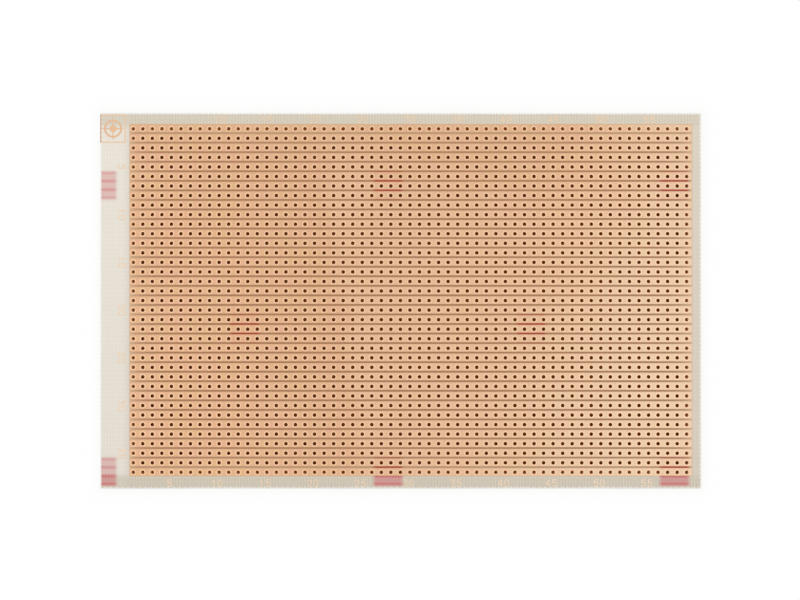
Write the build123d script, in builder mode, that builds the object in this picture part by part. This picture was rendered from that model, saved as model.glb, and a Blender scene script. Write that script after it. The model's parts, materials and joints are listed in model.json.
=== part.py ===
from build123d import *
import os

# Stripboard in the 160 x 100 mm card format, for building prototype circuits.
# A drilled glass-epoxy laminate carries parallel copper strips on one side.
# X runs along the strips, Y across them, and the copper side faces +Z.
# The origin is the middle of the bare side, on which the board lies.

# ---- Board -----------------------------------------------------------------
board_length = 160.0
board_width = 100.0
board_thickness = 1.6
foil_thickness = 0.035

# ---- Hole grid -------------------------------------------------------------
pitch = 2.54
hole_diameter = 1.0
left_margin = 8.75  # left edge to the first column of holes
top_margin = 4.19  # top edge to the first row of holes
least_right_margin = 3.5  # the grid ends at least this far from the right edge
least_bottom_margin = 3.5

# ---- Copper strips ---------------------------------------------------------
strip_gap = 0.4
strip_start = 0.95  # copper to the left of the first hole's centre
strip_finish = 1.45  # copper to the right of the last hole's centre
strip_offset = 0.11  # middle of each strip above its row of holes, as drilled

# ---- Numbers along the edges -------------------------------------------------
label_step = 5
digit_width = 1.3
digit_height = 1.95
digit_gap = 0.42
digit_stroke = 0.24
top_label_gap = 0.32  # bare laminate between the numbers and the first strip
bottom_label_gap = 0.92  # the same at the last strip
left_label_gap = 1.16  # the same at the strips' left ends
top_label_shift = 0.15  # middle of the numbers from their hole column
bottom_label_shift = -0.5

# ---- Corner mark -------------------------------------------------------------
frame_clearance = 1.05  # from the frame to the strips' left ends
frame_height = 7.55
frame_line = 0.3
frame_top_inset = 0.4
target_clearance = 0.275  # from the cross hairs' tips to the frame
target_diameter = 4.8
target_ring = 0.5
target_line = 0.3
target_dot = 1.9

# ---- Values worked out from the sizes above ----------------------------------
columns = int((board_length - left_margin - least_right_margin) / pitch) + 1
rows = int((board_width - top_margin - least_bottom_margin) / pitch) + 1
left_edge = -board_length / 2
top_edge = board_width / 2
column_x = [left_edge + left_margin + pitch * index for index in range(columns)]
row_y = [top_edge - top_margin - pitch * index for index in range(rows)]
laminate_thickness = board_thickness - foil_thickness
strip_left = column_x[0] - strip_start
strip_right = column_x[-1] + strip_finish
strip_length = strip_right - strip_left
strip_width = pitch - strip_gap
strip_y = [y + strip_offset for y in row_y]
top_label_y = strip_y[0] + strip_width / 2 + top_label_gap + digit_height / 2
bottom_label_y = strip_y[-1] - strip_width / 2 - bottom_label_gap - digit_height / 2
left_label_x = strip_left - left_label_gap - digit_height / 2
frame_width = strip_left - frame_clearance - left_edge
target_cross = frame_width - 2 * (frame_line + target_clearance)
copper_plane = Plane.XY.offset(laminate_thickness)

os.makedirs("parts", exist_ok=True)


# ---- Digits --------------------------------------------------------------------
def arc(x, y, radius, start, sweep):
    """Part of a circle about (x, y), as one stroke's centre line."""
    return CenterArc((x, y), radius, start, sweep, mode=Mode.PRIVATE).edge()


def line(*points):
    """A straight or bent stroke's centre line, cut into its straight edges."""
    return [Edge.make_line((*a, 0), (*b, 0)) for a, b in zip(points, points[1:])]


def digit_strokes(digit):
    """Centre lines of a digit that stands on y = 0, about the middle of its width.

    side is half the width of the centre lines, and top is their height.
    """
    side = (digit_width - digit_stroke) / 2
    top = digit_height - digit_stroke
    upper_bowl = top - side
    if digit == "0":
        sides = line((-side, side), (-side, upper_bowl)) + line((side, side), (side, upper_bowl))
        return sides + [arc(0, side, side, 180, 180), arc(0, upper_bowl, side, 0, 180)]
    if digit == "1":
        return line((-side / 2, upper_bowl), (0, top), (0, 0))
    if digit == "2":
        bowl = arc(0, upper_bowl, side, -30, 200)
        bowl_end = bowl @ 0
        return [bowl] + line((bowl_end.X, bowl_end.Y), (-side, 0), (side, 0))
    if digit == "3":
        bowl = top * 0.28
        return line((-side, top), (side, top), (0, 2 * bowl)) + [arc(0, bowl, bowl, -140, 230)]
    if digit == "4":
        bar = top * 0.3
        return line((side / 2, 0), (side / 2, top), (-side, bar), (side, bar))
    if digit == "5":
        bowl = top * 0.31
        stem = -side * 0.8
        return line((side, top), (stem, top), (stem, bowl * 1.6)) + [arc(0, bowl, bowl, -150, 287)]
    if digit == "6":
        return line((side / 2, top), (-side * 0.9, side * 1.3)) + [arc(0, side, side, 0, 360)]
    if digit == "7":
        return line((-side, top), (side, top), (-side / 3, 0))
    if digit == "8":
        lower = top * 0.28
        upper = top / 2 - lower
        return [arc(0, lower, lower, 0, 360), arc(0, top - upper, upper, 0, 360)]
    return line((-side / 2, 0), (side * 0.9, top - side * 1.3)) + [arc(0, upper_bowl, side, 0, 360)]


def draw_number(number, place):
    """Adds the digits of a number to the sketch in work, centred on a location."""
    text = str(number)
    advance = digit_width + digit_gap
    for index, digit in enumerate(text):
        across = (index - (len(text) - 1) / 2) * advance
        base = Location((across, (digit_stroke - digit_height) / 2, 0))
        for stroke in digit_strokes(digit):
            with Locations(place * base):
                SlotArc(stroke, digit_stroke)


# ---- Laminate ------------------------------------------------------------------
with BuildPart() as laminate:
    with BuildSketch():
        Rectangle(board_length, board_width)
        with Locations([(x, y) for x in column_x for y in row_y]):
            Circle(hole_diameter / 2, mode=Mode.SUBTRACT)
    extrude(amount=laminate_thickness, clean=False)  # its faces leave nothing to merge
laminate.part.label = "laminate"
export_step(laminate.part, "parts/laminate.step")

# ---- Copper strips, numbered from the top edge -----------------------------------
for row in range(rows):
    with BuildPart() as strip:
        with BuildSketch(copper_plane):
            with Locations(((strip_left + strip_right) / 2, strip_y[row])):
                Rectangle(strip_length, strip_width)
            with Locations([(x, row_y[row]) for x in column_x]):
                Circle(hole_diameter / 2, mode=Mode.SUBTRACT)
        extrude(amount=foil_thickness)
    strip.part.label = f"strip_{row + 1:02d}"
    export_step(strip.part, f"parts/strip_{row + 1:02d}.step")

# ---- Column numbers along the top edge, clear of the corner frame ----------------
with BuildPart() as top_numbers:
    with BuildSketch(copper_plane):
        for number in range(label_step, columns + 1, label_step):
            label_x = column_x[number - 1] + top_label_shift
            if number > label_step:
                draw_number(number, Location((label_x, top_label_y, 0)))
    extrude(amount=foil_thickness)
top_numbers.part.label = "top_numbers"
export_step(top_numbers.part, "parts/top_numbers.step")

# ---- Column numbers along the bottom edge ------------------------------------------
with BuildPart() as bottom_numbers:
    with BuildSketch(copper_plane):
        for number in range(label_step, columns + 1, label_step):
            label_x = column_x[number - 1] + bottom_label_shift
            draw_number(number, Location((label_x, bottom_label_y, 0)))
    extrude(amount=foil_thickness)
bottom_numbers.part.label = "bottom_numbers"
export_step(bottom_numbers.part, "parts/bottom_numbers.step")

# ---- Row numbers along the left edge, reading from top to bottom -------------------
with BuildPart() as left_numbers:
    with BuildSketch(copper_plane):
        for number in range(label_step, rows + 1, label_step):
            draw_number(number, Location((left_label_x, row_y[number - 1], 0), (0, 0, -90)))
    extrude(amount=foil_thickness)
left_numbers.part.label = "left_numbers"
export_step(left_numbers.part, "parts/left_numbers.step")

# ---- Corner frame: a rectangle of thin copper line at the top left -----------------
frame_centre = (left_edge + frame_width / 2, top_edge - frame_top_inset - frame_height / 2)
with BuildPart() as corner_frame:
    with BuildSketch(copper_plane):
        with Locations(frame_centre):
            Rectangle(frame_width, frame_height)
            Rectangle(frame_width - 2 * frame_line, frame_height - 2 * frame_line, mode=Mode.SUBTRACT)
    extrude(amount=foil_thickness)
corner_frame.part.label = "corner_frame"
export_step(corner_frame.part, "parts/corner_frame.step")

# ---- Registration target inside the frame ------------------------------------------
with BuildPart() as registration_target:
    with BuildSketch(copper_plane):
        with Locations(frame_centre):
            Circle(target_diameter / 2)
            Circle(target_diameter / 2 - target_ring, mode=Mode.SUBTRACT)
            Rectangle(target_cross, target_line)
            Rectangle(target_line, target_cross)
            Circle(target_dot / 2)
    extrude(amount=foil_thickness)
registration_target.part.label = "registration_target"
export_step(registration_target.part, "parts/registration_target.step")
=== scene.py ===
import json
import math

import bpy
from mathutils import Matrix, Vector, noise
from mathutils.geometry import delaunay_2d_cdt


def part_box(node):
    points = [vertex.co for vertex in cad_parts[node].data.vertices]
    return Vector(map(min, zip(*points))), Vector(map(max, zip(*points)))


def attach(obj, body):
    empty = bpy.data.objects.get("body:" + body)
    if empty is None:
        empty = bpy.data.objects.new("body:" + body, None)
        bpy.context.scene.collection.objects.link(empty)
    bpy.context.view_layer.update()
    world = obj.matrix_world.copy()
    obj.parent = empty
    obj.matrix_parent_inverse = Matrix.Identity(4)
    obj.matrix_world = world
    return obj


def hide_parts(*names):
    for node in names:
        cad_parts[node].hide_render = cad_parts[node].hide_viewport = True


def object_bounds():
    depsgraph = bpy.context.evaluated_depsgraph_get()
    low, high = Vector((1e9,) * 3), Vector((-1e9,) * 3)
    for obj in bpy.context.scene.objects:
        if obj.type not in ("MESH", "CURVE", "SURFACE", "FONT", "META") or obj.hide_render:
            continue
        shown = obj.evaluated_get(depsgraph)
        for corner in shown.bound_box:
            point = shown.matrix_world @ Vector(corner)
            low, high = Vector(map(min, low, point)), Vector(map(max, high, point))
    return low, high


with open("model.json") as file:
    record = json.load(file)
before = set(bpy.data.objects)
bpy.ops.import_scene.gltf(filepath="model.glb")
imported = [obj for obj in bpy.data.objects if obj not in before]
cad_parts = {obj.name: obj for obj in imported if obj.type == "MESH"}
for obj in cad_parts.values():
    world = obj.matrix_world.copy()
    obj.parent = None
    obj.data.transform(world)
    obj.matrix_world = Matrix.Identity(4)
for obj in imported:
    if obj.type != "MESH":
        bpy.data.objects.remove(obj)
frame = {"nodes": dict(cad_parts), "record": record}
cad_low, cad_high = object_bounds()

# ---- The board's layout, read from the frame, in metres -------------------------
MM = 0.001
mounts = {mount["name"]: mount for mount in frame["record"]["mounts"]}
first_hole = Vector(mounts["first_lead_hole"]["pos_m"])
last_hole = Vector(mounts["last_lead_hole"]["pos_m"])
hole_radius = mounts["first_lead_hole"]["dims"]["r_mm"] * MM
strip_names = sorted(name for name in frame["nodes"] if name.startswith("strip_"))
mark_names = sorted(set(frame["nodes"]) - set(strip_names) - {"laminate"})
rows = len(strip_names)
pitch = (first_hole.y - last_hole.y) / (rows - 1)
columns = round((last_hole.x - first_hole.x) / pitch) + 1
column_x = [first_hole.x + pitch * column for column in range(columns)]
row_y = [first_hole.y - pitch * row for row in range(rows)]
strip_boxes = [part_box(name) for name in strip_names]
field_low = strip_boxes[-1][0]
field_high = strip_boxes[0][1]
strip_offset = (strip_boxes[0][0].y + strip_boxes[0][1].y) / 2 - row_y[0]
strip_half_width = (strip_boxes[0][1].y - strip_boxes[0][0].y) / 2
laminate_low, laminate_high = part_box("laminate")

# ---- Fine form -------------------------------------------------------------------
laminate_hole_sides = 18
strip_hole_sides = 24
laminate_edge_step = 0.55 * MM
laminate_edge_bevel = 0.06 * MM
laminate_edge_waves = 0.05 * MM  # how far the sheared edge wanders inwards
strip_edge_step = 0.62 * MM
strip_edge_slope = 0.03 * MM  # the etched side leans this far from top to bottom
strip_edge_turn = 0.3  # depth of the bend in that side, as a share of the foil's thickness
strip_edge_waves = 0.02 * MM
laminate_seed = 3.0
strip_seed = 9.0
strip_hole_round = 0.02 * MM
strip_hole_drop = 0.012 * MM
yarn_pitch_x = 1.52 * MM
yarn_pitch_y = 1.155 * MM
fine_yarn_pitch = 0.757 * MM  # the yarns along Y are of two kinds, which drift in and out of step
coarse_yarn_pitch = 0.83 * MM
strip_map_cuts = 5  # lengths that a strip's top is cut into in its texture map
map_gap_share = 0.008  # space between rows of the map, as a share of a length
map_row_share = 0.99  # part of a row that the outside walls use
map_cell_share = 0.8  # part of its cell that a hole's wall uses

# ---- Shading, in millimetres, where a pair is where a change starts and ends ---------
field_border = (-0.3, 0.25)  # inwards from the strips' field, from margin to gap
left_margin = (9.0, 5.5)  # from the board's left edge
far_margins = (45.5, 47.5)  # from the board's middle, along Y
light_in_gaps = 2.8  # reach of the light that comes in between the strips from the margins
light_in_holes = 0.9  # and of the light that comes in under them
painted_rim_highlight = (0.92, 0.6)  # from a hole's centre, for the painted highlight on the copper round it
dull_edge = 0.16  # along a strip's long edges
crushed_edge = 0.42  # mean width of the crushed glass round the board
outer_wall = (0.6, 0.4)  # from the board's edge
shadow_reach = 2.2  # how far out from the board the floor's shading fades away
shadow_depth = 0.2  # share of the light that it takes at the board's edge

# ---- Red marks inside the laminate -------------------------------------------------
mark_pitch = 76.2 * MM
mark_centre_x = -3.4 * MM
mark_centre_y = 30.75 * MM
mark_width = 9.1 * MM
mark_height = 9.1 * MM
mark_bars = 4
mark_thin_ink = 0.6  # ink between the bars, as a share of the ink in them
mark_ragged = 0.15 * MM  # the bars' edges follow the yarns
mark_side_fade = 1.4 * MM  # the ink thins out over this distance at the sides
mark_end_fade = 1.6 * MM  # and over this one at the top and bottom


# ---- Meshes ----------------------------------------------------------------------
def add_mesh(name, points, faces, places, material):
    """A new piece of the board, smooth with crisp edges, with its texture map's places."""
    mesh = bpy.data.meshes.new(name)
    mesh.from_pydata(points, [], faces)
    layer = mesh.uv_layers.new(name="OFBake")
    layer.uv.foreach_set("vector", places)
    mesh.shade_smooth()
    mesh.set_sharp_from_angle(angle=math.radians(30))
    mesh.materials.append(material)
    piece = bpy.data.objects.new(name, mesh)
    bpy.context.scene.collection.objects.link(piece)
    return piece


def rectangle_outline(low, high, step):
    """Points round a rectangle, anticlockwise, and the way inwards at each one."""
    corners = [(low.x, low.y), (high.x, low.y), (high.x, high.y), (low.x, high.y)]
    inward = [(0, 1), (-1, 0), (0, -1), (1, 0)]
    points = []
    directions = []
    for side in range(4):
        start = Vector(corners[side])
        end = Vector(corners[(side + 1) % 4])
        count = max(1, round((end - start).length / step))
        for index in range(count):
            points.append(start.lerp(end, index / count))
            direction = Vector(inward[side])
            if index == 0:
                direction += Vector(inward[side - 1])
            directions.append(direction)
    return points, directions


def circle_angles(sides):
    """Even angles round a circle."""
    return [2 * math.pi * side / sides for side in range(sides)]


def cap_triangles(plan, loops):
    """Triangles that fill the outline, less the holes, for flat points in metres."""
    edges = []
    loop_of = {}
    for number, loop in enumerate(loops):
        edges.extend(zip(loop, loop[1:] + loop[:1]))
        loop_of.update(dict.fromkeys(loop, number))
    flat = [Vector((point.x / MM, point.y / MM)) for point in plan]
    # The triangles cover the holes too. Those with all corners on one hole are left out.
    covering = delaunay_2d_cdt(flat, edges, [], 0, 1e-6)[2]
    triangles = []
    for triangle in covering:
        owners = {loop_of[corner] for corner in triangle}
        if owners == {0} or len(owners) > 1:
            triangles.append(tuple(triangle))
    return triangles


class SheetMap:
    """Where the faces of a drilled sheet go in its texture map, in metres until the end.

    The top and bottom are cut into lengths that lie one above another. Over them come
    four rows for the outside walls, then a small cell for each hole's wall.
    """

    def __init__(self, low, high, cuts, hole_count):
        self.low = low
        self.cuts = cuts
        self.length = (high.x - low.x) / cuts
        self.lap = pitch if cuts > 1 else 0.0
        self.gap = map_gap_share * self.length
        self.width = self.length + 2 * self.lap
        self.cap_row = high.y - low.y + self.gap
        self.walls = 2 * cuts * self.cap_row
        self.wall_height = high.z - low.z
        self.wall_row = self.wall_height + self.gap
        self.cells = self.walls + 4 * self.wall_row
        self.cells_across = min(hole_count, columns)
        self.cell_row = self.wall_height / 2 + self.gap
        cell_rows = math.ceil(hole_count / self.cells_across)
        self.side = max(self.width, self.cells + cell_rows * self.cell_row)
        self.places = []

    def put(self, u, v):
        """Notes the place of one face corner."""
        self.places.extend((u / self.side, v / self.side))

    def cap(self, corners, is_bottom):
        """Places a triangle of the top or bottom."""
        middle = sum(corner[0] for corner in corners) / 3 - self.low.x
        cut = min(self.cuts - 1, int(middle / self.length))
        base = (2 * cut + is_bottom) * self.cap_row
        for x, y, z in corners:
            self.put(x - self.low.x - cut * self.length + self.lap, base + y - self.low.y)

    def outside(self, step, count, corners):
        """Places a face of the outline's wall, which is one of count steps round it."""
        row = 4 * step // count
        start = 4 * step / count - row
        for after, height in corners:
            u = (start + after * 4 / count) * self.width * map_row_share
            self.put(u, self.walls + row * self.wall_row + height * self.wall_height)

    def hole(self, number, step, count, corners):
        """Places a face of a hole's wall."""
        row, column = divmod(number, self.cells_across)
        cell = self.width / self.cells_across
        for after, height in corners:
            u = (column + (step + after) / count * map_cell_share) * cell
            self.put(u, self.cells + row * self.cell_row + height * self.wall_height / 2)


def drilled_sheet(name, shape, outline_levels, centres, hole_levels, sides, sheet_map, material):
    """A closed sheet with an outline and round holes.

    shape is the outline's points, the way inwards and the extra inset at each one.
    Levels run from the bottom up: (height, inset) for the outline and
    (height, radius) for the holes.
    """
    turns = [Vector((math.cos(a), math.sin(a))) for a in circle_angles(sides)]
    points = []
    faces = []
    plan = []
    loops = []
    bottom = []
    top = []

    def add_loop(flat_points, rings, outer):
        """Adds the wall round the outline or round one hole, from its rings of points."""
        loops.append(list(range(len(plan), len(plan) + len(flat_points))))
        plan.extend(flat_points)
        indices = []
        for ring in rings:
            indices.append(list(range(len(points), len(points) + len(ring))))
            points.extend(ring)
        bottom.extend(indices[0])
        top.extend(indices[-1])
        count = len(flat_points)
        bands = len(indices) - 1
        for band in range(bands):
            lower = indices[band]
            upper = indices[band + 1]
            under = band / bands
            over = (band + 1) / bands
            for k in range(count):
                after = (k + 1) % count
                quad = (lower[k], lower[after], upper[after], upper[k])
                corners = ((0, under), (1, under), (1, over), (0, over))
                if outer:
                    faces.append(quad)
                    sheet_map.outside(k, count, corners)
                else:
                    faces.append(quad[::-1])
                    sheet_map.hole(len(loops) - 2, k, count, corners[::-1])

    outline, inward, waves = shape
    rings = []
    for height, inset in outline_levels:
        ring = []
        for corner, direction, wave in zip(outline, inward, waves):
            place = corner + direction * (inset + wave)
            ring.append((place.x, place.y, height))
        rings.append(ring)
    add_loop(outline, rings, True)
    for centre in centres:
        rings = []
        for height, radius in hole_levels:
            ring = [centre + turn * radius for turn in turns]
            rings.append([(place.x, place.y, height) for place in ring])
        add_loop([centre + turn * hole_radius for turn in turns], rings, False)
    for a, b, c in cap_triangles(plan, loops):
        upper = (top[a], top[b], top[c])
        lower = (bottom[c], bottom[b], bottom[a])
        for is_bottom, face in enumerate((upper, lower)):
            faces.append(face)
            sheet_map.cap([points[corner] for corner in face], is_bottom)
    return add_mesh(name, points, faces, sheet_map.places, material)


# ---- Materials -------------------------------------------------------------------
def srgb(red, green, blue):
    """A colour written as it looks on screen, from 0 to 255, as Blender's linear one."""
    linear = []
    for level in (red, green, blue):
        part = level / 255
        linear.append(part / 12.92 if part <= 0.04045 else ((part + 0.055) / 1.055) ** 2.4)
    return (*linear, 1.0)


class Field:
    """A number that varies over a surface. Such numbers combine with plain signs."""

    def __init__(self, paint, socket):
        self.paint = paint
        self.socket = socket

    def __add__(self, other):
        return self.paint.calculate("ADD", self, other)

    def __sub__(self, other):
        return self.paint.calculate("SUBTRACT", self, other)

    def __rsub__(self, other):
        return self.paint.calculate("SUBTRACT", other, self)

    def __mul__(self, other):
        return self.paint.calculate("MULTIPLY", self, other)

    def __truediv__(self, other):
        return self.paint.calculate("DIVIDE", self, other)

    __radd__ = __add__
    __rmul__ = __mul__


class Paint:
    """Builds the nodes of one material or of the world."""

    def __init__(self, owner):
        owner.use_nodes = True
        self.tree = owner.node_tree
        self.tree.nodes.clear()

    def feed(self, socket, value):
        """Links or sets an input."""
        if isinstance(value, Field):
            value = value.socket
        if isinstance(value, bpy.types.NodeSocket):
            self.tree.links.new(value, socket)
        else:
            socket.default_value = value

    def add(self, kind, inputs=(), **settings):
        """A new node with its settings and inputs."""
        node = self.tree.nodes.new(kind)
        for key, value in settings.items():
            setattr(node, key, value)
        for key, value in dict(inputs).items():
            self.feed(node.inputs[key], value)
        return node

    def calculate(self, operation, *values):
        """The result of an operation on numbers."""
        node = self.add("ShaderNodeMath", operation=operation)
        for socket, value in zip(node.inputs, values):
            self.feed(socket, value)
        return Field(self, node.outputs[0])

    def position(self):
        """X, Y and Z in millimetres."""
        place = self.add("ShaderNodeTexCoord").outputs["Object"]
        parts = self.add("ShaderNodeSeparateXYZ", {"Vector": place})
        return [Field(self, parts.outputs[axis]) * (1 / MM) for axis in "XYZ"]

    def normal(self):
        """The surface's true direction in X, Y and Z."""
        place = self.add("ShaderNodeNewGeometry").outputs["True Normal"]
        parts = self.add("ShaderNodeSeparateXYZ", {"Vector": place})
        return [Field(self, parts.outputs[axis]) for axis in "XYZ"]

    def step(self, value, low, high):
        """0 below low, 1 above high, and smooth in between. low may be the larger."""
        node = self.add("ShaderNodeMapRange", interpolation_type="SMOOTHSTEP")
        self.feed(node.inputs["Value"], value)
        self.feed(node.inputs["From Min"], low)
        self.feed(node.inputs["From Max"], high)
        return Field(self, node.outputs["Result"])

    def wave(self, value, length):
        """A wave from -1 to 1, with its length in millimetres."""
        return self.calculate("SINE", value * (2 * math.pi / length))

    def speckle(self, place, size, detail=2.0, seed=0.0):
        """Smooth noise from 0 to 1, with lumps of a size in millimetres along each axis."""
        scaled = [part / length for part, length in zip(place, size)]
        vector = self.add("ShaderNodeCombineXYZ", {"X": scaled[0], "Y": scaled[1]})
        self.feed(vector.inputs["Z"], scaled[2] + seed)
        inputs = {"Vector": vector.outputs[0], "Scale": 1.0, "Detail": detail}
        return Field(self, self.add("ShaderNodeTexNoise", inputs).outputs[0])

    def off_centre(self, value, start, spacing):
        """Distance with a sign to the nearest of evenly spaced lines."""
        turns = (value - start) / spacing + 0.5
        return (self.calculate("FRACT", turns) - 0.5) * spacing

    def blend(self, amount, first, second, mode="MIX"):
        """The first colour, turning into the second as the amount goes from 0 to 1.

        The node has sockets of each kind, and its colours are inputs 6 and 7 and output 2.
        """
        node = self.add("ShaderNodeMix", data_type="RGBA", blend_type=mode)
        self.feed(node.inputs["Factor"], amount)
        self.feed(node.inputs[6], first)
        self.feed(node.inputs[7], second)
        return node.outputs[2]

    def brighten(self, colour, factor):
        """A colour times a number that varies over the surface."""
        grey = self.add("ShaderNodeCombineColor")
        for part in grey.inputs:
            self.feed(part, factor)
        return self.blend(1.0, colour, grey.outputs[0], "MULTIPLY")

    def finish(self, colour, roughness, height, depth, settings):
        """Ends the material in a surface shader with a bump of a depth in metres."""
        bump = self.add("ShaderNodeBump", {"Strength": 1.0, "Distance": depth, "Height": height})
        inputs = {"Base Color": colour, "Roughness": roughness, "Normal": bump.outputs[0]}
        shader = self.add("ShaderNodeBsdfPrincipled", {**inputs, **settings})
        output = self.add("ShaderNodeOutputMaterial")
        self.tree.links.new(shader.outputs[0], output.inputs["Surface"])


def into_field(paint, x, y):
    """Millimetres inwards from the edge of the strips' field, less than 0 outside it."""
    in_x = paint.calculate("MINIMUM", x - field_low.x / MM, field_high.x / MM - x)
    in_y = paint.calculate("MINIMUM", y - field_low.y / MM, field_high.y / MM - y)
    return paint.calculate("MINIMUM", in_x, in_y)


def red_marks(paint, x, y, yarns):
    """Plain bars of red ink, printed on the glass cloth before it was pressed."""
    marks = 0.0
    half_width = mark_width / MM / 2
    half_height = mark_height / MM / 2
    full_width = half_width - mark_side_fade / MM
    full_height = half_height - mark_end_fade / MM
    for shift in (0.0, mark_pitch / 2):
        aside = paint.off_centre(x, (mark_centre_x + shift) / MM, mark_pitch / MM)
        above = paint.off_centre(y, (mark_centre_y + shift) / MM, mark_pitch / MM)
        inside = paint.step(paint.calculate("ABSOLUTE", aside), half_width, full_width)
        level = paint.step(paint.calculate("ABSOLUTE", above), half_height, full_height)
        ragged = above + (yarns - 0.5) * (mark_ragged / MM)
        bar = paint.calculate("COSINE", ragged * (2 * math.pi * mark_bars * MM / mark_height))
        ink = mark_thin_ink + (1.0 - mark_thin_ink) * paint.step(bar, 0.2, -1.0)
        marks = marks + inside * level * ink
    return marks * (0.9 + 0.35 * (yarns - 0.5))


def copper_tone_and_painted_sheen(paint, x, y, cloud, mottle):
    """Orange copper with a fine pink and yellow mottle, and a painted reflection that makes it
    paler past the middle and towards the right.
    """
    colour = paint.blend(mottle, srgb(228, 177, 147), srgb(222, 182, 136))
    wander = (cloud - 0.5) * 16.0
    # Painted reflection: the copper turns paler past the middle and towards the right.
    sheen_past_middle = paint.step(x + y * 0.12 + wander, -20.0, -12.0)
    sheen_below_top = paint.step(y + x * 0.25 + wander * 1.5, 52.0, 22.0)
    colour = paint.blend(sheen_past_middle * sheen_below_top * 0.5, colour, srgb(230, 194, 161))
    sheen_to_the_right = paint.step(x - y * 0.3 + wander, 22.0, 76.0)
    return paint.blend(sheen_to_the_right * 0.8, colour, srgb(231, 203, 172))


def copper_material(name, drilled, paleness):
    """Bare copper foil, brushed along the strips, with a painted highlight round the holes."""
    material = bpy.data.materials.new(name)
    paint = Paint(material)
    place = paint.position()
    x, y = place[:2]
    cloud = paint.speckle(place, (11.0, 7.0, 10.0), 3.0)
    bloom = paint.speckle(place, (2.2, 1.5, 10.0), 2.0, 7.0)
    grain = paint.speckle(place, (0.32, 0.26, 10.0), 3.0, 13.0)
    hue = paint.speckle(place, (0.5, 0.42, 10.0), 2.0, 41.0)
    brushing = paint.speckle(place, (9.0, 0.16, 10.0), 3.0, 21.0)
    spots = paint.speckle(place, (0.8, 0.7, 10.0), 1.0, 33.0)
    mottle = 0.5 + (cloud - 0.5) + (bloom - 0.5) + (hue - 0.5) * 2.4
    colour = copper_tone_and_painted_sheen(paint, x, y, cloud, paint.step(mottle, 0.0, 1.0))
    colour = paint.blend(paleness, colour, srgb(241, 217, 190))
    roughness = 0.4 + (grain - 0.5) * 0.22
    height = brushing * 0.35 + grain * 0.4
    if drilled:
        aside = paint.off_centre(x, first_hole.x / MM, pitch / MM)
        above = paint.off_centre(y, first_hole.y / MM, pitch / MM)
        distance = paint.calculate("SQRT", aside * aside + above * above)
        # A painted highlight on the copper round each hole, with a bump and lower roughness to
        # match.
        ring = paint.step(distance + (grain - 0.5) * 0.16, *painted_rim_highlight)
        colour = paint.blend(ring * 0.75, colour, srgb(252, 210, 170))
        from_middle = paint.calculate("ABSOLUTE", above - strip_offset / MM)
        half_width = strip_half_width / MM
        edge = paint.step(from_middle, half_width - dull_edge, half_width)
        colour = paint.blend(edge * 0.35, colour, srgb(205, 152, 112))
        # Painted red bounce light: the strips are tinted red next to the marks that show in the
        # gaps beside them, most along their edges.
        marks = red_marks(paint, x, y, grain)
        colour = paint.blend(marks * marks * (0.14 + edge * 0.5), colour, srgb(206, 112, 82))
        roughness = roughness - ring * 0.1
        height = height - ring * 0.6
    else:
        # The shears leave copper at the board's left edge brown and ragged.
        from_left = x - laminate_low.x / MM
        scallop = paint.wave(y, yarn_pitch_y / MM)
        sheared = paint.step(from_left + scallop * 0.06, 0.26, 0.1)
        colour = paint.blend(sheared * 0.8, colour, srgb(146, 100, 72))
    tarnish = paint.step(spots, 0.64, 0.78)
    colour = paint.blend(tarnish * 0.25, colour, srgb(190, 128, 92))
    bright = 1.0 + (brushing - 0.5) * 0.12 + (grain - 0.5) * 0.22 + (bloom - 0.5) * 0.06
    colour = paint.brighten(colour, bright)
    paint.finish(colour, roughness, height, 0.012 * MM, {"Metallic": 1.0})
    return material


def laminate_top(paint, x, inside, field, beyond):
    """The copper side's colour: margins, and the etched gaps between the strips, whose brown is
    painted shade.

    inside says how far in from the border of the strips' field a place lies. field is 1
    within that border, and beyond is 1 well past its top and bottom.
    """
    # Margins: palest on the left, a little darker along the top and bottom.
    near_left = paint.step(x - laminate_low.x / MM, *left_margin)
    margin = paint.blend(near_left, srgb(222, 212, 196), srgb(237, 230, 218))
    margin = paint.blend(beyond * 0.75, margin, srgb(213, 203, 183))

    # Gaps: painted shade makes them brown, and painted light makes them lighter where it comes in
    # from the margins.
    depth = paint.calculate("MAXIMUM", inside, 0.0)
    gap_shade = 1.0 - paint.calculate("EXPONENT", depth * (-1 / light_in_gaps))
    gap = paint.blend(gap_shade, srgb(212, 180, 146), srgb(171, 121, 81))
    return paint.blend(field, margin, gap)


def laminate_underside(paint, y, field, marks):
    """The bare side's colour: painted shadows of the strips as tan bands, with paler lines between.
    """
    above = paint.off_centre(y, (first_hole.y + strip_offset) / MM, pitch / MM)
    strip_shadow = paint.step(paint.calculate("ABSOLUTE", above), 1.2, 0.95) * field
    under = paint.blend(strip_shadow * 0.8, srgb(214, 205, 178), srgb(196, 158, 116))
    return paint.blend(marks * 0.5, under, srgb(176, 82, 70))


def laminate_walls(paint, z, facing_y, inside, marks, plies, to_edge):
    """Walls in the holes, with painted shade and light: brown deep down and on the walls that face
    +Y, pale near the top and by the border; and layered walls round the outside.
    """
    # Painted shade in the holes: the bore is dark deep down and on its lower walls, and painted
    # light makes it pale near the top and by the field's border.
    painted_light_up_the_hole = paint.step(z, 0.2, laminate_high.z / MM)
    bore = paint.blend(painted_light_up_the_hole, srgb(150, 84, 40), srgb(250, 204, 156))
    shaded_lower_wall = paint.step(facing_y, -0.3, 0.5)
    bore = paint.blend(shaded_lower_wall * 0.8, bore, srgb(150, 84, 40))
    lit_by_the_border = paint.step(inside, 2.6, 0.9)
    bore = paint.blend(lit_by_the_border * 0.8, bore, srgb(242, 218, 182))
    bore = paint.blend(marks * 0.7, bore, srgb(140, 40, 24))
    side = paint.blend(paint.step(plies, 0.35, 0.65), srgb(196, 186, 150), srgb(228, 221, 196))
    return paint.blend(paint.step(to_edge, *outer_wall), bore, side)


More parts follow.
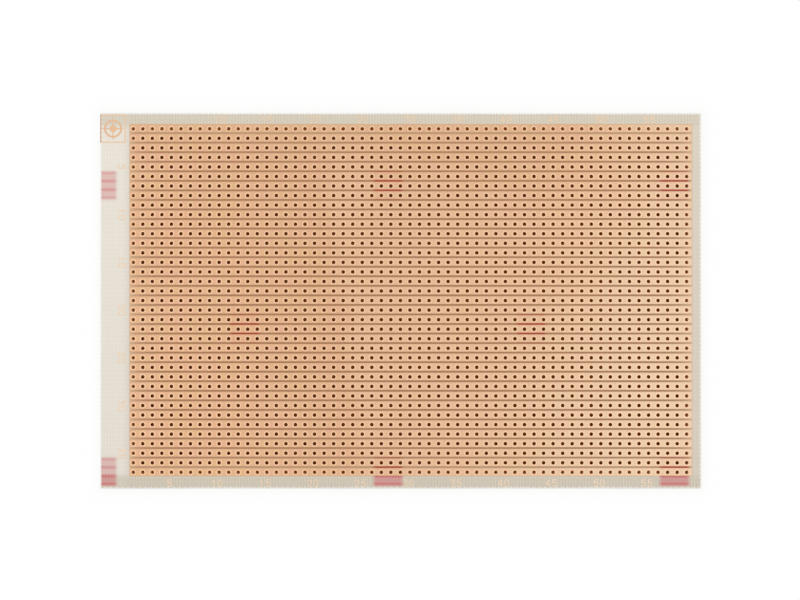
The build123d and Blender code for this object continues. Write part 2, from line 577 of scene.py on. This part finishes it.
def laminate_material():
    """Glass-epoxy laminate: pale at the margins, with painted shade that makes the etched gaps
    brown.
    """
    material = bpy.data.materials.new("glass_epoxy_laminate")
    paint = Paint(material)
    place = paint.position()
    x, y, z = place
    facing_y, facing_z = paint.normal()[1:]
    patches = paint.speckle(place, (14.0, 9.0, 9.0), 3.0)
    fibres_x = paint.speckle(place, (0.22, 3.0, 0.3), 2.0, 5.0)
    fibres_y = paint.speckle(place, (3.0, 0.22, 0.3), 2.0, 11.0)
    grain = paint.speckle(place, (0.18, 0.18, 0.1), 2.0, 17.0)
    plies = paint.speckle(place, (6.0, 6.0, 0.11), 2.0, 27.0)
    inside = into_field(paint, x, y)
    field = paint.step(inside, *field_border)
    beyond = paint.step(paint.calculate("ABSOLUTE", y), *far_margins)

    # Glass cloth: two kinds of yarn along Y and one along X, with single fibres.
    bend = (patches - 0.5) * 0.5
    yarn_fine = paint.wave(x + bend, fine_yarn_pitch / MM)
    yarn_coarse = paint.wave(x - bend, coarse_yarn_pitch / MM)
    weft = paint.wave(y + bend, yarn_pitch_y / MM)
    yarn = (yarn_fine + yarn_coarse) * (0.08 + beyond * 0.12 + (patches - 0.5) * 0.2)
    yarns = 0.5 + yarn + weft * 0.08 + (fibres_x - 0.5) * 0.6

    # The red marks look darker between the strips, where they take the gaps' painted shade, and
    # past their field.
    marks = red_marks(paint, x, y, yarns)
    ink = paint.blend(field, srgb(211, 104, 110), srgb(172, 56, 28))
    strength = 0.76 + paint.calculate("MAXIMUM", beyond, field) * 0.34
    top = laminate_top(paint, x, inside, field, beyond)
    top = paint.blend(marks * strength, top, ink)

    # Sheared edges: crushed glass shows as a broken whitish line.
    edge_x = laminate_high.x / MM - paint.calculate("ABSOLUTE", x)
    edge_y = laminate_high.y / MM - paint.calculate("ABSOLUTE", y)
    to_edge = paint.calculate("MINIMUM", edge_x, edge_y)
    scallop = paint.wave(x, yarn_pitch_x / MM) + paint.wave(y, yarn_pitch_y / MM)
    reach = crushed_edge + scallop * 0.08 + (patches - 0.5) * 0.3
    crushed = paint.step(to_edge / reach, 1.3, 0.3)
    top = paint.blend(crushed * 0.85, top, srgb(250, 247, 241))
    under = laminate_underside(paint, y, field, marks)
    under = paint.blend(crushed * 0.6, under, srgb(240, 236, 222))

    wall = laminate_walls(paint, z, facing_y, inside, marks, plies, to_edge)
    up = paint.step(facing_z, 0.4, 0.6)
    down = paint.step(facing_z, -0.4, -0.6)
    colour = paint.blend(up, paint.blend(down, wall, under), top)
    # Besides the cloth's own tone, the laminate is painted lighter towards +Y and darker towards
    # -Y: painted light.
    shade = 1.0 + (yarns - 0.5) * 0.15 + (grain - 0.5) * 0.06 + (patches - 0.5) * 0.06 + y * 0.0009
    colour = paint.brighten(colour, shade)
    roughness = 0.42 + (grain - 0.5) * 0.2 + crushed * 0.2
    height = yarns * 0.6 + (fibres_y - 0.5) * 0.3 + grain * 0.2 + plies * 0.4
    paint.finish(colour, roughness, height, 0.015 * MM, {"IOR": 1.5})
    return material


def floor_material():
    """Pale floor that keeps the board's shadow, with a brown patch of painted shade where the holes
    show it.
    """
    material = bpy.data.materials.new("pale_floor")
    paint = Paint(material)
    x, y = paint.position()[:2]
    inside = into_field(paint, x, y)
    # Painted shade: under the strips' field the floor is brown, and painted light makes it lighter
    # by the field's border.
    open_floor = paint.step(inside, -0.1, -0.6)
    depth = paint.calculate("MAXIMUM", inside, 0.0)
    let_in = paint.calculate("EXPONENT", depth * (-1 / light_in_holes))
    shaded = paint.blend(let_in, srgb(224, 130, 60), srgb(232, 144, 78))
    colour = paint.blend(open_floor, shaded, srgb(244, 243, 240))
    matte = paint.add("ShaderNodeBsdfDiffuse", {"Color": colour})

    # To the camera and in reflections the open floor is white, less the shading close
    # to the board.
    out_x = paint.calculate("MAXIMUM", paint.calculate("ABSOLUTE", x) - cad_high.x / MM, 0.0)
    out_y = paint.calculate("MAXIMUM", paint.calculate("ABSOLUTE", y) - cad_high.y / MM, 0.0)
    away = paint.calculate("SQRT", out_x * out_x + out_y * out_y)
    near = paint.calculate("EXPONENT", away * (-1 / shadow_reach))
    path = paint.add("ShaderNodeLightPath")
    seen = Field(paint, path.outputs["Is Camera Ray"]) + Field(paint, path.outputs["Is Glossy Ray"])
    white = paint.calculate("MINIMUM", seen, 1.0) * open_floor * (1.0 - near * shadow_depth)
    glow = paint.add("ShaderNodeEmission", {"Color": (1, 1, 1, 1), "Strength": 1.0})
    shader = paint.add("ShaderNodeMixShader", {"Fac": white})
    paint.tree.links.new(matte.outputs[0], shader.inputs[1])
    paint.tree.links.new(glow.outputs[0], shader.inputs[2])
    output = paint.add("ShaderNodeOutputMaterial")
    paint.tree.links.new(shader.outputs[0], output.inputs["Surface"])
    return material


copper = copper_material("brushed_copper_strip", True, 0.0)
copper_line = copper_material("brushed_copper_line", False, 0.6)
copper_digit = copper_material("brushed_copper_digit", False, 0.8)
copper_pad = copper_material("brushed_copper_pad", False, 0.25)
laminate_finish = laminate_material()


# ---- Laminate --------------------------------------------------------------------
def smooth_noise(point, turns, seed):
    """Noise from 0 to 1 at a point of an outline, with about so many turns a millimetre."""
    spot = Vector((point.x / MM, point.y / MM, seed))
    return 0.5 + 0.5 * noise.noise(spot * turns)


def edge_waves(points, seed):
    """How far the sheared edge wanders inwards at each point of the outline."""
    waves = []
    for point in points:
        slow = smooth_noise(point, 0.35, seed)
        scallop_x = math.sin(2 * math.pi * point.x / yarn_pitch_x)
        scallop_y = math.sin(2 * math.pi * point.y / yarn_pitch_y)
        scallop = 0.5 + 0.25 * (scallop_x + scallop_y)
        waves.append((0.45 * slow + 0.55 * scallop) * laminate_edge_waves)
    return waves


outline, inward = rectangle_outline(laminate_low, laminate_high, laminate_edge_step)
outline_levels = [
    (laminate_low.z, laminate_edge_bevel),
    (laminate_low.z + laminate_edge_bevel, 0.0),
    (laminate_high.z - laminate_edge_bevel, 0.0),
    (laminate_high.z, laminate_edge_bevel),
]
hole_levels = [(laminate_low.z, hole_radius), (laminate_high.z, hole_radius)]
centres = [Vector((x, y)) for x in column_x for y in row_y]
laminate = drilled_sheet(
    "drilled_laminate",
    (outline, inward, edge_waves(outline, laminate_seed)),
    outline_levels,
    centres,
    hole_levels,
    laminate_hole_sides,
    SheetMap(laminate_low, laminate_high, 1, len(centres)),
    laminate_finish,
)
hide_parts("laminate")
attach(laminate, "root")

# ---- Copper strips -----------------------------------------------------------------
for row, strip_name in enumerate(strip_names):
    low, high = strip_boxes[row]
    outline, inward = rectangle_outline(low, high, strip_edge_step)
    waves = [smooth_noise(point, 1.3, strip_seed) * strip_edge_waves for point in outline]
    levels = [
        (low.z, 0.0),
        (high.z - strip_edge_turn * (high.z - low.z), strip_edge_slope / 2),
        (high.z, strip_edge_slope),
    ]
    rim = [
        (low.z, hole_radius),
        (high.z - strip_hole_drop, hole_radius),
        (high.z, hole_radius + strip_hole_round),
    ]
    centres = [Vector((x, row_y[row])) for x in column_x]
    strip = drilled_sheet(
        strip_name.replace("strip", "copper_strip"),
        (outline, inward, waves),
        levels,
        centres,
        rim,
        strip_hole_sides,
        SheetMap(low, high, strip_map_cuts, columns),
        copper,
    )
    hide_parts(strip_name)
    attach(strip, "root")

# ---- Numbers, corner frame and target keep their CAD form ---------------------------
mark_finish = {"corner_frame": copper_line, "registration_target": copper_pad}
for name in mark_names:
    mesh = frame["nodes"][name].data
    mesh.materials.clear()
    mesh.materials.append(mark_finish.get(name, copper_digit))

# ---- Floor -------------------------------------------------------------------------
floor_half = 4.0  # from its middle to each side
floor_height = cad_low.z - 0.01 * MM
corners = [(-1, -1), (1, -1), (1, 1), (-1, 1)]
floor_mesh = bpy.data.meshes.new("floor")
floor_points = [(floor_half * a, floor_half * b, floor_height) for a, b in corners]
floor_mesh.from_pydata(floor_points, [], [(0, 1, 2, 3)])
floor_mesh.materials.append(floor_material())
floor = bpy.data.objects.new("floor", floor_mesh)
bpy.context.scene.collection.objects.link(floor)

# ---- Light ---------------------------------------------------------------------------
lamp_size = 1.0
lamp_power = 0.7  # watts
lamp_x = 0.65
lamp_y = -0.1
lamp_height = 0.9


def soft_room():
    """A white room, brightest overhead and a touch brighter on the right."""
    world = bpy.data.worlds.new("soft_room")
    paint = Paint(world)
    direction = paint.add("ShaderNodeTexCoord").outputs["Generated"]
    parts = paint.add("ShaderNodeSeparateXYZ", {"Vector": direction})
    to_right = Field(paint, parts.outputs["X"])
    upwards = Field(paint, parts.outputs["Z"])
    level = 0.7 + upwards * upwards * 0.3 + to_right * 0.03
    path = paint.add("ShaderNodeLightPath")
    seen = Field(paint, path.outputs["Is Camera Ray"])
    level = level * (1.0 - seen) + seen
    background = paint.add("ShaderNodeBackground", {"Color": (1, 1, 1, 1), "Strength": level})
    output = paint.add("ShaderNodeOutputWorld")
    paint.tree.links.new(background.outputs[0], output.inputs["Surface"])
    return world


def softbox(name, x):
    """A large square lamp that faces the board's middle."""
    lamp = bpy.data.lights.new(name, "AREA")
    lamp.size = lamp_size
    lamp.energy = lamp_power
    place = Vector((x, lamp_y, lamp_height))
    holder = bpy.data.objects.new(name, lamp)
    holder.location = place
    holder.rotation_euler = (-place).to_track_quat("-Z", "Y").to_euler()
    bpy.context.scene.collection.objects.link(holder)


bpy.context.scene.world = soft_room()
softbox("left_lamp", -lamp_x)
softbox("right_lamp", lamp_x)

# ---- Camera --------------------------------------------------------------------------
camera_x = -0.24 * MM
camera_y = 0.23 * MM
camera_height = 0.26  # over the copper's surface
view_width = 0.2129  # width that is in view at the copper's surface
camera_data = bpy.data.cameras.new("camera")
camera_data.sensor_width = 36.0
camera_data.lens = camera_data.sensor_width * camera_height / view_width
camera = bpy.data.objects.new("camera", camera_data)
camera.location = (camera_x, camera_y, cad_high.z + camera_height)
bpy.context.scene.collection.objects.link(camera)
bpy.context.scene.camera = camera
bpy.context.scene.view_settings.view_transform = "Standard"
